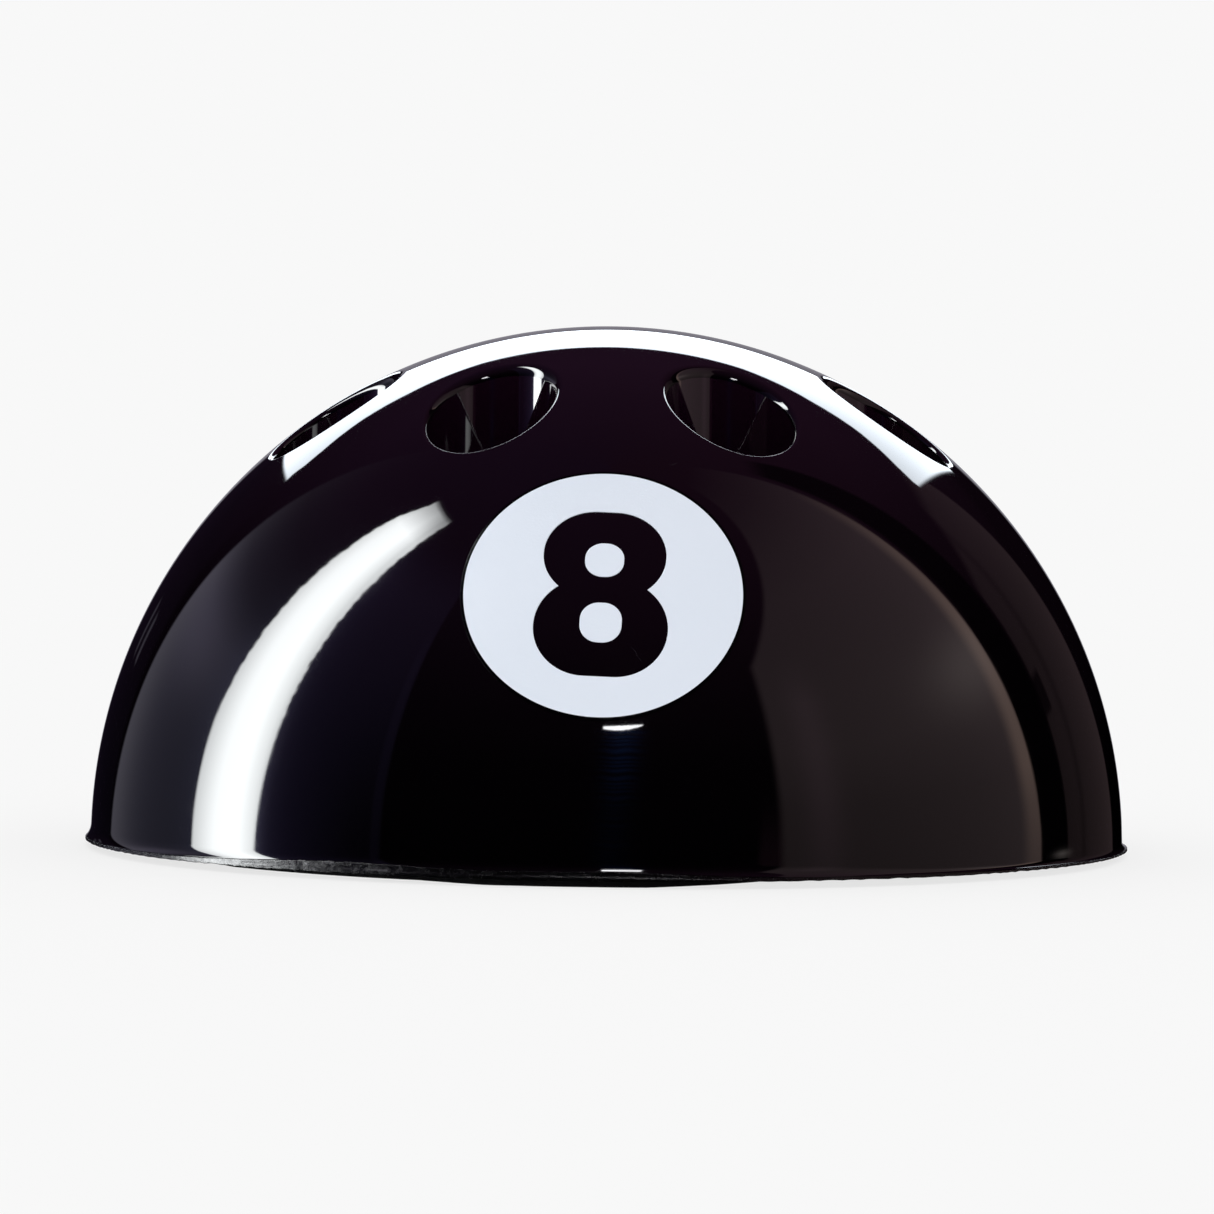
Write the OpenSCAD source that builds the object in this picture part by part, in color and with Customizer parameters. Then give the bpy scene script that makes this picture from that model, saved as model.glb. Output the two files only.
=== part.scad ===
// Half-ball floor stand for eight cues: a hollow dome with eight upright wells and a round number
// sticker on its front. Millimetres, +Z up, the front faces -Y, origin at the middle of the underside.

/* [Dome] */
// Outside radius of the dome
dome_r = 175; // [165:1:190]
// Wall thickness of the dome
dome_wall = 3; // [2.5:0.5:4]

/* [Foot lip] */
// How far the lip at the foot stands out past the dome
lip_reach = 1.8; // [1.2:0.1:2.4]
// How far the lip hangs below the widest line of the dome
lip_drop = 0.3; // [0.2:0.1:1]
// Radius of the hollow curve that leads from the dome into the lip
lip_hollow_r = 7; // [6:0.5:9]

/* [Cue wells] */
// Radius of the circle that the wells stand on
well_ring_r = 98.5; // [92:0.5:104]
// Radius of each well where it opens in the dome
well_mouth_r = 20.5; // [19:0.5:21]
// How much wider the mouth is than the tube below it, on the radius
mouth_step = 0.5; // [0.5:0.1:0.8]
// Wall thickness of the tubes
tube_wall = 2; // [1.5:0.5:2.5]
// Wall thickness of the collar round each tube
collar_wall = 2.3; // [1.5:0.1:3]
// How far each tube reaches up into its collar
socket_depth = 8; // [5:1:12]

/* [Tube pads] */
// Thickness of the soft pad under each tube
pad_h = 4; // [3:0.5:6]
// How deep the pads sit in the board
pad_recess = 3; // [2:0.5:4]

/* [Base] */
// Thickness of the felt under the stand
felt_h = 2; // [1:0.5:3]
// Thickness of the base board
board_h = 12; // [9:1:16]
// Gap between the edge of the board and the dome
board_gap = 0.6; // [0.4:0.1:1.5]
// How far the felt stays back from the edge of the board
felt_inset = 0.4; // [0:0.1:3]

/* [Fixing blocks] */
// Width of a fixing block along the dome
block_w = 26; // [20:1:32]
// Height of a fixing block
block_h = 26; // [20:1:32]
// Distance of the inner face of a fixing block from the middle
block_inner_r = 146; // [140:1:152]
// Distance of the base screws from the middle
screw_ring_r = 156; // [154:0.5:158]
// Radius of the screw shank
screw_r = 2; // [1.5:0.1:2.5]
// Radius of the screw head
screw_head_r = 4.4; // [4:0.1:5]
// Length of a base screw
screw_length = 30; // [24:1:34]

/* [Number sticker] */
// Radius of the white disc
disc_r = 41.7; // [36:0.1:44]
// Height of the middle of the disc, as an angle above the widest line
disc_rise = 29.4; // [26:0.1:32]
// Sideways turn of the middle of the disc from the front
disc_turn = -0.7; // [-3:0.1:3]
// Thickness of the sticker
sticker_h = 0.3; // [0.2:0.1:0.5]
// Clockwise lean of the numeral
numeral_lean = 2.3; // [-5:0.1:5]

/* [Hidden] */
$fn = 96;
overlap = 1;
well_turn = 22.5;
well_step = 45;
block_step = 90;
inner_r = dome_r - dome_wall;
board_top = felt_h + board_h;
lip_foot = felt_h + 0.1;
equator_z = lip_foot + lip_drop;

// the hollow curve touches the dome and is cut off at the reach of the lip
hollow_rise = 5.2;
hollow_centre_r = sqrt(pow(dome_r + lip_hollow_r, 2) - pow(hollow_rise, 2));
lip_block_h = lip_drop + hollow_rise * dome_r / (dome_r + lip_hollow_r);

tube_r = well_mouth_r - mouth_step;
tube_outer_r = tube_r + tube_wall;
socket_gap = 0.2;
socket_r = tube_outer_r + socket_gap;
collar_r = socket_r + collar_wall;
// the seat of each socket lies just under the lowest part of the dome wall over it
seat_z = equator_z + sqrt(pow(inner_r, 2) - pow(well_ring_r + socket_r, 2)) - 1.2;
collar_foot_z = seat_z - socket_depth;
pad_foot_z = board_top - pad_recess;
tube_foot_z = pad_foot_z + pad_h;
pad_gap = 0.2;

board_r = inner_r - board_gap;
shank_gap = 0.3;
head_h = screw_head_r - screw_r;
drive_w = 2.2;
drive_depth = 1.6;

// centre height, width, height and corner radius of the round-cornered boxes that make the 8
upper_bowl = [10.9, 36.8, 31.1, 15.4];
lower_bowl = [-13.7, 40, 31.7, 15.8];
upper_hole = [8.7, 11.7, 11.8, 5.4];
lower_hole = [-12.5, 12.5, 12.9, 5.6];

black_gloss = [0.03, 0.03, 0.035];
black_felt = [0.05, 0.05, 0.055];
black_board = [0.09, 0.085, 0.08];
pad_grey = [0.16, 0.16, 0.17];
pale_wood = [0.62, 0.48, 0.33];
zinc = [0.72, 0.73, 0.74];
sticker_white = [0.86, 0.9, 0.95];

// Places its children on the axis of one well, counted round from the right of the front.
module at_well(index) {
  rotate([0, 0, well_turn + index * well_step])
    translate([0, -well_ring_r, 0])
      children();
}

// Places its children at one of the four fixing points, counted round from the front.
module at_block(index) {
  rotate([0, 0, index * block_step])
    children();
}

// Half section of the dome wall with its lip, height measured from the widest line.
module shell_section() {
  difference() {
    union() {
      intersection() {
        circle(dome_r);
        translate([0, -lip_drop])
          square([dome_r + overlap, dome_r + overlap + lip_drop]);
      }
      translate([inner_r - overlap, -lip_drop])
        square([dome_wall + overlap + lip_reach, lip_block_h]);
    }
    circle(inner_r);
    translate([hollow_centre_r, hollow_rise])
      circle(lip_hollow_r);
  }
}

// Collars that hang from the dome wall round the wells.
module collars() {
  intersection() {
    translate([0, 0, equator_z])
      sphere(dome_r - dome_wall / 2);
    for (index = [0 : 7])
      at_well(index)
        translate([0, 0, collar_foot_z])
          cylinder(r = collar_r, h = dome_r);
  }
}

// The wells through the dome wall, with a wider socket for the tube in each collar.
module well_holes() {
  for (index = [0 : 7])
    at_well(index) {
      translate([0, 0, collar_foot_z - overlap])
        cylinder(r = socket_r, h = seat_z - collar_foot_z + overlap);
      translate([0, 0, collar_foot_z])
        cylinder(r = well_mouth_r, h = dome_r);
    }
}

module dome_shell() {
  color(black_gloss)
    difference() {
      union() {
        translate([0, 0, equator_z])
          rotate_extrude()
            shell_section();
        collars();
      }
      well_holes();
    }
}

module cue_tube(index) {
  color(black_gloss)
    at_well(index)
      translate([0, 0, tube_foot_z])
        difference() {
          cylinder(r = tube_outer_r, h = seat_z - socket_gap - tube_foot_z);
          translate([0, 0, -overlap])
            cylinder(r = tube_r, h = seat_z - tube_foot_z + 2 * overlap);
        }
}

module tube_pad(index) {
  color(pad_grey)
    at_well(index)
      translate([0, 0, pad_foot_z])
        cylinder(r = tube_outer_r, h = pad_h);
}

// Shank and countersunk head of a base screw, head down, made wider by a gap for its hole.
module screw_body(gap) {
  cylinder(r = screw_r + gap, h = screw_length);
  cylinder(r1 = screw_head_r + gap, r2 = screw_r + gap, h = head_h);
}

module base_board() {
  color(black_board)
    difference() {
      translate([0, 0, felt_h])
        cylinder(r = board_r, h = board_h);
      for (index = [0 : 7])
        at_well(index)
          translate([0, 0, pad_foot_z])
            cylinder(r = tube_outer_r + pad_gap, h = pad_recess + overlap);
      for (index = [0 : 3])
        at_block(index)
          translate([0, -screw_ring_r, felt_h])
            screw_body(shank_gap);
    }
}

module base_felt() {
  color(black_felt)
    cylinder(r = board_r - felt_inset, h = felt_h);
}

module fixing_block(index) {
  color(pale_wood)
    difference() {
      intersection() {
        at_block(index)
          translate([-block_w / 2, -dome_r, board_top])
            cube([block_w, dome_r - block_inner_r, block_h]);
        translate([0, 0, equator_z])
          sphere(inner_r);
      }
      at_block(index)
        translate([0, -screw_ring_r, felt_h])
          cylinder(r = screw_r, h = screw_length);
    }
}

module base_screws() {
  color(zinc)
    for (index = [0 : 3])
      at_block(index)
        translate([0, -screw_ring_r, felt_h])
          difference() {
            screw_body(0);
            translate([-drive_w / 2, -drive_w / 2, -overlap])
              cube([drive_w, drive_w, drive_depth + overlap]);
          }
}

// Places its children on the line through the middle of the sticker, +Z outwards and +Y uphill.
module at_sticker() {
  translate([0, 0, equator_z])
    rotate([0, 0, disc_turn])
      rotate([90 - disc_rise, 0, 0])
        children();
}

// A box with round corners, given as [centre height, width, height, corner radius].
module round_box(box) {
  straight_w = box[1] - 2 * box[3];
  straight_h = box[2] - 2 * box[3];
  translate([0, box[0]]) {
    square([box[1], straight_h], center = true);
    square([straight_w, box[2]], center = true);
    for (side = [-1, 1], end = [-1, 1])
      translate([side * straight_w / 2, end * straight_h / 2])
        circle(box[3]);
  }
}

// The part of the sticker sheet that lies over a flat outline.
module sticker_piece() {
  difference() {
    intersection() {
      sphere(dome_r + sticker_h);
      linear_extrude(dome_r + 2 * sticker_h)
        children();
    }
    sphere(dome_r);
  }
}

module numeral_piece(box) {
  color(sticker_white)
    at_sticker()
      rotate([0, 0, -numeral_lean])
        sticker_piece()
          round_box(box);
}

module number_disc() {
  color(sticker_white)
    at_sticker()
      rotate([0, 0, -numeral_lean])
        sticker_piece()
          difference() {
            circle(disc_r);
            round_box(upper_bowl);
            round_box(lower_bowl);
          }
}

module number_upper_counter() {
  numeral_piece(upper_hole);
}

module number_lower_counter() {
  numeral_piece(lower_hole);
}

dome_shell();
cue_tube(0);  // cue_tube_1
cue_tube(1);  // cue_tube_2
cue_tube(2);  // cue_tube_3
cue_tube(3);  // cue_tube_4
cue_tube(4);  // cue_tube_5
cue_tube(5);  // cue_tube_6
cue_tube(6);  // cue_tube_7
cue_tube(7);  // cue_tube_8
tube_pad(0);  // tube_pad_1
tube_pad(1);  // tube_pad_2
tube_pad(2);  // tube_pad_3
tube_pad(3);  // tube_pad_4
tube_pad(4);  // tube_pad_5
tube_pad(5);  // tube_pad_6
tube_pad(6);  // tube_pad_7
tube_pad(7);  // tube_pad_8
base_board();
base_felt();
fixing_block(0);  // fixing_block_1
fixing_block(1);  // fixing_block_2
fixing_block(2);  // fixing_block_3
fixing_block(3);  // fixing_block_4
base_screws();
number_disc();
number_upper_counter();
number_lower_counter();
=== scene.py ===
"""Looks of the half-ball cue stand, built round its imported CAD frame. Metres, +Z up, front at -Y."""

import math

import bpy
import numpy as np
from mathutils import Matrix, Vector
from mathutils.geometry import delaunay_2d_cdt


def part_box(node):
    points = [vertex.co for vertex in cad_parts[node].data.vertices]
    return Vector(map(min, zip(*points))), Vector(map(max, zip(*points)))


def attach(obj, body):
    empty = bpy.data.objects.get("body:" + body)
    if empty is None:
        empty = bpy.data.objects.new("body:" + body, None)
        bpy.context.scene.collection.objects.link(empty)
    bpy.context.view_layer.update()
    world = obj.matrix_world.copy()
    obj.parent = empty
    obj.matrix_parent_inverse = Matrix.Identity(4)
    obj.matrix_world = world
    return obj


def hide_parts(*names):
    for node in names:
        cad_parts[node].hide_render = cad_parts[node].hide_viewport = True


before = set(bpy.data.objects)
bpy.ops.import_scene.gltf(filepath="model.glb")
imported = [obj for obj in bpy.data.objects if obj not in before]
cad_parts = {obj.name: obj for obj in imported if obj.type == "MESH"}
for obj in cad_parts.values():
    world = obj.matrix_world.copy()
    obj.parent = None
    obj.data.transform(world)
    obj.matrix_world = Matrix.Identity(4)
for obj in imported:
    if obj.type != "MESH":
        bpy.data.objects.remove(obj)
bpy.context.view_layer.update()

MM = 0.001

# ------ sizes that the frame gives
shell_low, shell_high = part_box("dome_shell")
tube_low, tube_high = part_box("cue_tube_1")
pad_low, pad_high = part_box("tube_pad_1")
felt_low, felt_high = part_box("base_felt")

LIP_DROP = 0.3 * MM
EQUATOR = shell_low.z + LIP_DROP
CENTRE = np.array([0.0, 0.0, EQUATOR])
DOME_R = shell_high.z - EQUATOR
LIP_R = shell_high.x

# ------ driving sizes, as in the CAD
WALL = 3 * MM
WELL_COUNT = 8
WELL_RING_R = 98.5 * MM
TUBE_R = 20 * MM
TUBE_OUTER_R = 22 * MM
SOCKET_R = 22.2 * MM
SOCKET_GAP = 0.2 * MM
SOCKET_DEPTH = 8 * MM
COLLAR_R = 24.5 * MM
STICKER_H = 0.3 * MM
STICKER_R = 41.7 * MM
STICKER_RISE = math.radians(29.4)
STICKER_TURN = math.radians(-0.7)
NUMERAL_LEAN = math.radians(2.3)
HOLLOW_R = 7 * MM
HOLLOW_RISE = 5.2 * MM

# centre height, width, height and corner radius of the round-cornered boxes that make the 8
UPPER_BOWL = np.array([10.9, 36.8, 31.1, 15.4]) * MM
LOWER_BOWL = np.array([-13.7, 40.0, 31.7, 15.8]) * MM
UPPER_HOLE = np.array([8.7, 11.7, 11.8, 5.4]) * MM
LOWER_HOLE = np.array([-12.5, 12.5, 12.9, 5.6]) * MM

# ------ sizes that only the looks need
# a well's mouth, a little tighter than the CAD's 20.5 mm, and the rounding of its rim, bigger uphill
WELL_R = 20.1 * MM
RIM_R = 1.6 * MM
UPHILL_RIM_R = 5 * MM
INNER_R = DOME_R - WALL
SEAT_Z = tube_high.z + SOCKET_GAP
COLLAR_FOOT_Z = SEAT_Z - SOCKET_DEPTH
TIGHT_HOLLOW_R = 2 * MM
EASED_R = 0.4 * MM
PAD_HOLLOW = 0.6 * MM
SMOOTH_ANGLE = math.radians(35)

# the lip: its edges, the roughness of its cut face and foot, and how unevenly it is cut
EASED_LIP = 0.22 * MM
ROUGH_CUT = 0.025 * MM
ROUGH_FOOT = 0.12 * MM
UNEVEN_CUT = 0.05 * MM
# how deep the saw left the cut face from its top to its foot: a hollow, a ridge and a slope
CUT_GROOVE = ((0, 0), (0.45, 1), (0.68, 0.1), (1, 0.9))
GROOVE_DEPTH = 0.03 * MM
FRONT_GROOVE_DEPTH = 0.15 * MM
# stretches where the lip is filed back further, and chipped: turn and width in degrees, depth in mm
FILED_BACK = ((-26, 20, 1.3), (1, 11, 0.85), (96, 10, 0.3), (151, 14, 0.6), (-128, 12, 0.5))
CHIPPED = ((-29, 5, 0.05), (-69, 4, 0.06))
TORN_TURN = math.radians(-28)
TORN_SPOT = Vector((math.sin(TORN_TURN), -math.cos(TORN_TURN), 0)) * LIP_R

# how far, in mm, the felt stays short of its full size at these turns in degrees
FELT_SHORT = ((-180, 21), (-62, 21), (-46, 10), (-20, 8), (-12, 0), (4, 0), (11, 9), (19, 21), (180, 21))
# how uneven its cut is, as shares of its radius
FELT_WAVES = 0.0006
FELT_FRAY = 0.0004

# the sticker: its clear margin, how far it sinks into the dome, its edges and what is caught under it
CLEAR_MARGIN = 1 * MM
STICKER_SINK = 0.02 * MM
STICKER_EDGE = 0.06 * MM
STICKER_EDGE_ANGLE = math.radians(50)
BUBBLE_COUNT = 26
BUBBLE_SIZES = (0.5 * MM, 1.1 * MM)
BUBBLE_RISES = (0.03 * MM, 0.08 * MM)
STICKER_MIDDLE = Vector(CENTRE) + DOME_R * Vector((
    math.cos(STICKER_RISE) * math.sin(STICKER_TURN),
    -math.cos(STICKER_RISE) * math.cos(STICKER_TURN),
    math.sin(STICKER_RISE),
))

# ------ how finely the pieces are drawn
ARC_COLUMNS = 36
SIDE_ROWS = 26
PATCH_ROWS = 13
CAP_ROWS = 11
BAND_ROWS = 28
FILLET_ROWS = 8
LIP_SPLIT = 6
SETTLING_ROUNDS = 6
RIPPLE_WAVES = 24
HOLLOW_ROWS = 10
EASED_ROWS = 3
CUT_ROWS = 10
WELL_WALL_ROWS = 3
TUBE_COLUMNS = 128
PAD_COLUMNS = 96
FELT_COLUMNS = 720
CORNER_STEPS = 20
DISC_STEPS = 360
SHEET_STEP = 0.8 * MM
CAP_COLATITUDE = math.radians(15)
PATCH_COLATITUDE = math.radians(57)
SPLIT_COLATITUDE = math.radians(87)


# ====== mesh tools
class Skin:
    """Grids of points with their true normals, welded into one mesh with sharp and smooth edges."""

    WELD = 1e-6
    WELD_SHIFT = 0.137

    def __init__(self):
        self.points = []
        self.normals = []
        self.faces = []
        self.slots = []
        self.count = 0

    def add(self, points, normals, faces, slot=0):
        """Adds faces of four corners, turned to their normals; a triangle repeats its last corner."""
        p = points[faces]
        across = np.cross(p[:, 2] - p[:, 0], p[:, 3] - p[:, 1])
        backwards = (across * normals[faces].sum(1)).sum(1) < 0
        faces = np.where(backwards[:, None], faces[:, ::-1], faces)
        self.points.append(points)
        self.normals.append(normals)
        self.faces.append(faces + self.count)
        self.slots.append(np.full(len(faces), slot))
        self.count += len(points)

    def grid(self, points, normals, slot=0):
        """Adds the quads of a grid of points, rows by columns."""
        rows, columns = points.shape[:2]
        index = np.arange(rows * columns).reshape(rows, columns)
        quads = np.stack([index[:-1, :-1], index[1:, :-1], index[1:, 1:], index[:-1, 1:]], -1)
        self.add(points.reshape(-1, 3), normals.reshape(-1, 3), quads.reshape(-1, 4), slot)

    def fan(self, coarse, coarse_normals, fine, fine_normals, slot=0):
        """Joins a ring of points to one with LIP_SPLIT times as many."""
        faces = []
        middle = LIP_SPLIT // 2
        start = len(coarse)
        for here in range(len(coarse) - 1):
            first = start + here * LIP_SPLIT
            for step in range(LIP_SPLIT):
                corner = here if step < middle else here + 1
                faces.append([corner, first + step, first + step + 1, first + step + 1])
            faces.append([here, first + middle, here + 1, here + 1])
        points = np.concatenate([coarse, fine])
        normals = np.concatenate([coarse_normals, fine_normals])
        self.add(points, normals, np.array(faces), slot)

    def build(self, name, materials):
        """Makes the object, with a normal of its own at each corner of each face."""
        points = np.concatenate(self.points)
        normals = np.concatenate(self.normals)
        slots = np.concatenate(self.slots)
        keys = np.round(points / self.WELD + self.WELD_SHIFT).astype(np.int64)
        kept, welded = np.unique(keys, axis=0, return_index=True, return_inverse=True)[1:]
        welded = welded.ravel()
        faces, corners, face_slots = [], [], []
        for face, slot in zip(np.concatenate(self.faces).tolist(), slots.tolist()):
            ring = [c for place, c in enumerate(face) if welded[c] != welded[face[place - 1]]]
            if len(ring) > 2:
                faces.append([welded[c] for c in ring])
                corners += ring
                face_slots.append(slot)
        mesh = bpy.data.meshes.new(name)
        mesh.from_pydata(points[kept].tolist(), [], faces)
        for material in materials:
            mesh.materials.append(material)
        mesh.polygons.foreach_set("material_index", face_slots)
        mesh.polygons.foreach_set("use_smooth", [True] * len(faces))
        mesh.normals_split_custom_set(normals[corners].tolist())
        return add_object(name, mesh)


def add_object(name, content):
    """Puts a mesh or a camera into the scene as an object."""
    made = bpy.data.objects.new(name, content)
    bpy.context.scene.collection.objects.link(made)
    return made


def even(vectors):
    """Vectors brought to length 1."""
    return vectors / np.linalg.norm(vectors, axis=-1, keepdims=True)


def wrapped(degrees):
    """The same turns, from -180 to 180."""
    return (degrees + 180) % 360 - 180


def spoke(turns):
    """Level directions at these turns, counted from the front towards +X."""
    return np.stack([np.sin(turns), -np.cos(turns)], -1)


def lifted(flat, heights):
    """Points of the plan with their heights added."""
    return np.concatenate([flat, np.broadcast_to(heights, flat.shape[:-1])[..., None]], -1)


def on_sphere(flat, radius):
    """Lifts points of the plan onto the upper half of a sphere, and gives their outward normals."""
    height = np.sqrt(radius**2 - (flat**2).sum(-1, keepdims=True))
    offsets = np.concatenate([flat, height], -1)
    return offsets + CENTRE, offsets / radius


def revolved(radii, heights, turns):
    """Points at these radii and heights above the equator; the last axis of each follows the turns."""
    return lifted(radii[..., None] * spoke(turns), heights + EQUATOR)


def facing(outward, upward, turns):
    """Normals that lean this much outward and upward at each turn."""
    return lifted(outward[..., None] * spoke(turns), upward)


def sphere_band(skin, radius, low, high, rows, turns, side):
    """Part of a sphere between two colatitudes; side is 1 for an outer face and -1 for an inner one."""
    colatitudes = np.linspace(low, high, rows + 1)[:, None] * np.ones(len(turns))
    points = revolved(radius * np.sin(colatitudes), radius * np.cos(colatitudes), turns)
    normals = facing(np.sin(colatitudes), np.cos(colatitudes), turns)
    skin.grid(points, side * normals)
    return points[-1], normals[-1]


def slope_normals(points):
    """Normals of a rough grid, from the slopes between its points, on the side away from the axis."""
    along = np.gradient(points, axis=1)
    along[:, 0] = along[:, -1] = points[:, 1] - points[:, -2]
    down = np.gradient(points, axis=0)
    return even(np.cross(along, down))


def ripple(turns, low, high, seed):
    """Uneven, seamless variation round the dome, about 1 in size, of low to high waves a turn."""
    draw = np.random.default_rng(seed)
    counts = draw.integers(low, high, RIPPLE_WAVES)
    phases = draw.uniform(0, 2 * math.pi, RIPPLE_WAVES)
    return np.sin(np.outer(turns, counts) + phases).sum(-1) / math.sqrt(RIPPLE_WAVES / 2)


def rising(values, start, softness):
    """0 below the start and 1 above it, with a smooth change this wide."""
    share = np.clip((values - start) / softness + 0.5, 0, 1)
    return share * share * (3 - 2 * share)


def between(values, low, high, softness):
    """1 from low to high and 0 outside, with smooth ends."""
    return rising(values, low, softness) * (1 - rising(values, high, softness))


def bell(values, middle, width):
    """1 in the middle, falling smoothly to both sides."""
    return np.exp(-(((values - middle) / width) ** 2))


def profile(values, *stops):
    """Even changes between (place, share) stops."""
    places, shares = zip(*stops)
    return np.interp(values, places, shares)


# ====== materials
class Finish:
    """A node material with one Principled surface. Its methods add nodes and return what they put out."""

    def __init__(self, name, **values):
        self.material = bpy.data.materials.new(name)
        self.material.use_nodes = True
        self.nodes = self.material.node_tree.nodes
        self.surface = self.nodes["Principled BSDF"]
        self.object_place = self.nodes.new("ShaderNodeTexCoord").outputs["Object"]
        for socket, value in values.items():
            self.set(socket.replace("_", " "), value)

    def put(self, socket, value):
        """Links an output to a socket, or writes a plain value into it."""
        if isinstance(value, bpy.types.NodeSocket):
            self.material.node_tree.links.new(value, socket)
        elif hasattr(value, "__len__") and socket.type == "RGBA":
            socket.default_value = (*value, 1)
        else:
            socket.default_value = value

    def set(self, socket, value):
        self.put(self.surface.inputs[socket], value)

    def place(self, scale=(1, 1, 1), turn=(0, 0, 0), bent=0):
        """Object coordinates, stretched and turned, and bent by a noise of that size."""
        mapping = self.nodes.new("ShaderNodeMapping")
        mapping.inputs["Scale"].default_value = scale
        mapping.inputs["Rotation"].default_value = turn
        start = self.object_place
        if bent:
            start = self.vector("ADD", start, self.vector("SCALE", self.noise(60, colour=True), bent))
        self.put(mapping.inputs["Vector"], start)
        return mapping.outputs["Vector"]

    def vector(self, operation, first, second):
        node = self.nodes.new("ShaderNodeVectorMath")
        node.operation = operation
        self.put(node.inputs[0], first)
        self.put(node.inputs["Scale" if operation == "SCALE" else 1], second)
        return node.outputs["Value" if operation == "DISTANCE" else "Vector"]

    def distance_to(self, spot):
        """Distance from a spot of the object."""
        return self.vector("DISTANCE", self.object_place, spot)

    def noise(self, scale, detail=2.0, roughness=0.5, at=None, colour=False):
        """Noise with this many lumps a metre."""
        node = self.nodes.new("ShaderNodeTexNoise")
        node.inputs["Scale"].default_value = scale
        node.inputs["Detail"].default_value = detail
        node.inputs["Roughness"].default_value = roughness
        self.put(node.inputs["Vector"], at or self.object_place)
        return node.outputs["Color" if colour else "Fac"]

    def cells(self, scale, feature="F1", output="Distance", at=None):
        """Voronoi cells, this many a metre."""
        node = self.nodes.new("ShaderNodeTexVoronoi")
        node.feature = feature
        node.inputs["Scale"].default_value = scale
        self.put(node.inputs["Vector"], at or self.object_place)
        return node.outputs[output]

    def math(self, operation, first, second=0.0, clamp=False):
        node = self.nodes.new("ShaderNodeMath")
        node.operation = operation
        node.use_clamp = clamp
        self.put(node.inputs[0], first)
        self.put(node.inputs[1], second)
        return node.outputs[0]

    def fade(self, value, start, end, low=0.0, high=1.0):
        """Goes evenly from low to high as value goes from start to end."""
        node = self.nodes.new("ShaderNodeMapRange")
        for socket, number in zip(list(node.inputs)[1:5], (start, end, low, high)):
            socket.default_value = number
        self.put(node.inputs["Value"], value)
        return node.outputs["Result"]

    def blend(self, share, first, second):
        """Mixes two colours."""
        node = self.nodes.new("ShaderNodeMix")
        node.data_type = "RGBA"
        self.put(node.inputs["Factor"], share)
        colours = [socket for socket in node.inputs if socket.type == "RGBA"]
        self.put(colours[0], first)
        self.put(colours[1], second)
        return [socket for socket in node.outputs if socket.type == "RGBA"][0]

    def colour(self, share, first, second):
        self.set("Base Color", self.blend(share, first, second))

    def bump(self, height, depth, base=None):
        """Turns a height from 0 to 1 into a relief this deep."""
        node = self.nodes.new("ShaderNodeBump")
        node.inputs["Distance"].default_value = depth
        self.put(node.inputs["Height"], height)
        if base:
            self.put(node.inputs["Normal"], base)
        self.set("Normal", node.outputs["Normal"])
        return node.outputs["Normal"]


def specks(finish, per_metre, size, share):
    """Sparse round specks: 1 inside one and 0 outside; share is how many of the cells hold one."""
    near = finish.cells(per_metre)
    chance = finish.cells(per_metre, output="Color")
    chosen = finish.fade(chance, 1 - share, 1 - share * 0.6)
    reach = finish.math("MULTIPLY", chosen, size * per_metre)
    gap = finish.math("SUBTRACT", reach, near)
    return finish.math("MULTIPLY", gap, 12.0, clamp=True)


def hairlines(finish, per_metre, width, turn, share):
    """Short fine scratches: 1 on one and 0 beside it."""
    at = finish.place(scale=(1, 1, 0.35), turn=turn, bent=0.012)
    edge = finish.cells(per_metre, feature="DISTANCE_TO_EDGE", at=at)
    line = finish.fade(edge, 0, width * per_metre, 1, 0)
    stretch = finish.fade(finish.noise(per_metre * 1.7), 1 - share, 1 - share + 0.04)
    return finish.math("MULTIPLY", line, stretch)


def make_gloss_black():
    """Polished black sheet plastic with a little dust, hairline scratches and a faint waviness."""
    finish = Finish("gloss_black_plastic", IOR=1.5)
    dust = finish.math("MAXIMUM", specks(finish, 170, 0.00017, 0.1), specks(finish, 420, 0.00009, 0.08))
    scratch = finish.math(
        "MAXIMUM",
        hairlines(finish, 42, 0.000035, (0.3, 0.2, 0.0), 0.3),
        hairlines(finish, 66, 0.00003, (1.1, 0.7, 0.4), 0.28),
    )
    marks = finish.math("MAXIMUM", dust, finish.math("MULTIPLY", scratch, 0.3))
    finish.colour(marks, (0.0004, 0.0003, 0.0005), (0.06, 0.06, 0.065))
    wiped = finish.fade(finish.noise(28, 4, 0.6, finish.place((1, 1, 3))), 0.35, 0.75, 0.02, 0.045)
    finish.set("Roughness", finish.math("MAXIMUM", wiped, finish.math("MULTIPLY", marks, 0.5)))
    waves = finish.bump(finish.noise(22, 1), 0.00003)
    finish.bump(finish.noise(900, 1), 0.0000006, waves)
    return finish.material


def make_cut_edge():
    """The torn and filed edge of the same plastic, paler in the streaks where the file stressed it."""
    finish = Finish("filed_edge", IOR=1.5)
    streaks = finish.noise(500, 4, 0.7, finish.place((0.25, 0.25, 2.6)))
    flakes = finish.noise(420, 3, 0.6)
    pale = finish.math("MULTIPLY", finish.fade(streaks, 0.5, 0.72), finish.fade(flakes, 0.45, 0.7))
    torn = finish.fade(finish.distance_to(TORN_SPOT), 0.01, 0.04, 1, 0.05)
    pale = finish.math("MULTIPLY", pale, torn)
    finish.colour(pale, (0.0008, 0.0007, 0.001), (0.12, 0.115, 0.13))
    finish.set("Roughness", finish.fade(flakes, 0.3, 0.7, 0.17, 0.32))
    finish.bump(streaks, 0.00022)
    return finish.material


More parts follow.
